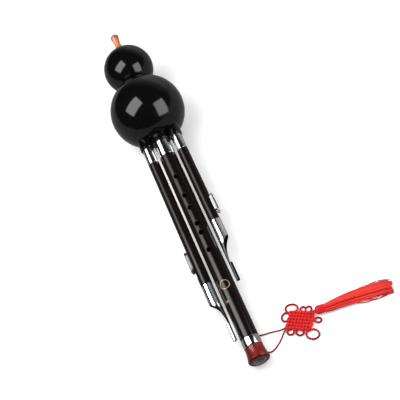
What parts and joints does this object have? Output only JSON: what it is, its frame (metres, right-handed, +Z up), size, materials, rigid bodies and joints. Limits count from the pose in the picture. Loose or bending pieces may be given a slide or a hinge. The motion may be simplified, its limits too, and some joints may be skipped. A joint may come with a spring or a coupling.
{
  "type": "hulusi gourd flute",
  "caption": "Gourd flute lying on its back: two glossy gourd balls with a mouthpiece, a melody pipe with finger holes between two drone pipes, and a red cord, knot and tassel.",
  "frame": {"origin": "on the floor under the middle of the instrument's length, without the cord and tassel", "axes": "+Z up, +Y from the foot towards the mouthpiece, +X towards the short drone; the finger holes face up"},
  "size_m": [0.1887, 0.4524, 0.0834],
  "materials": {
    "gourd": "polished black lacquer",
    "mouthpiece": "amber, slightly clear, red-brown at the base",
    "chrome": "mirror polish",
    "pipe": "black-brown, gloss lacquer",
    "brass": "satin",
    "cork": "raw cork",
    "foot": "dark red, high gloss",
    "gold_mark": "pale gold, satin",
    "cord": "red braided cord",
    "tassel": "red silk strands"
  },
  "bodies": {
    "gourd": {"mouthpiece": "mouthpiece", "mouthpiece_ring": "chrome", "upper_bulb": "gourd", "neck_coupling": "gourd", "lower_bulb": "gourd", "base_plug": "gourd"},
    "main_pipe_set": {"main_pipe": "pipe", "ring_mark": "gold_mark", "dot_mark": "gold_mark", "main_top_collar": "chrome", "main_reed_tube": "brass", "main_reed_plate": "brass", "main_reed_stopper": "cork", "main_cork": "cork", "foot_ferrule": "chrome", "foot_bell": "foot", "cord_bight": "cord", "cord_upper_strand": "cord", "cord_lower_strand": "cord", "knot": "cord", "tassel_head": "tassel", "tassel_skirt": "tassel"},
    "long_drone_set": {"long_drone_pipe": "pipe", "long_drone_top_collar": "chrome", "long_drone_reed_tube": "brass", "long_drone_reed_plate": "brass", "long_drone_reed_stopper": "cork", "long_drone_cork": "cork", "long_drone_end_tube": "chrome", "long_drone_slide_track": "chrome"},
    "long_drone_valve": {"long_drone_slide": "chrome"},
    "short_drone_set": {"short_drone_pipe": "pipe", "short_drone_top_collar": "chrome", "short_drone_reed_tube": "brass", "short_drone_reed_plate": "brass", "short_drone_reed_stopper": "cork", "short_drone_cork": "cork", "short_drone_end_tube": "chrome", "short_drone_slide_track": "chrome"},
    "short_drone_valve": {"short_drone_slide": "chrome"}
  },
  "joints": [
    {"name": "main_pipe_pull", "type": "slide", "parent": "gourd", "child": "main_pipe_set", "axis": [0, -0.9955, -0.0943], "range_m": [0, 0.012]},
    {"name": "long_drone_pull", "type": "slide", "parent": "gourd", "child": "long_drone_set", "axis": [0, -0.9955, -0.0943], "range_m": [0, 0.01]},
    {"name": "short_drone_pull", "type": "slide", "parent": "gourd", "child": "short_drone_set", "axis": [0, -0.9955, -0.0943], "range_m": [0, 0.01]},
    {"name": "long_drone_valve_slide", "type": "slide", "parent": "long_drone_set", "child": "long_drone_valve", "axis": [0, -0.9955, -0.0943], "range_m": [0, 0.008]},
    {"name": "short_drone_valve_slide", "type": "slide", "parent": "short_drone_set", "child": "short_drone_valve", "axis": [0, -0.9955, -0.0943], "range_m": [0, 0.008]}
  ]
}
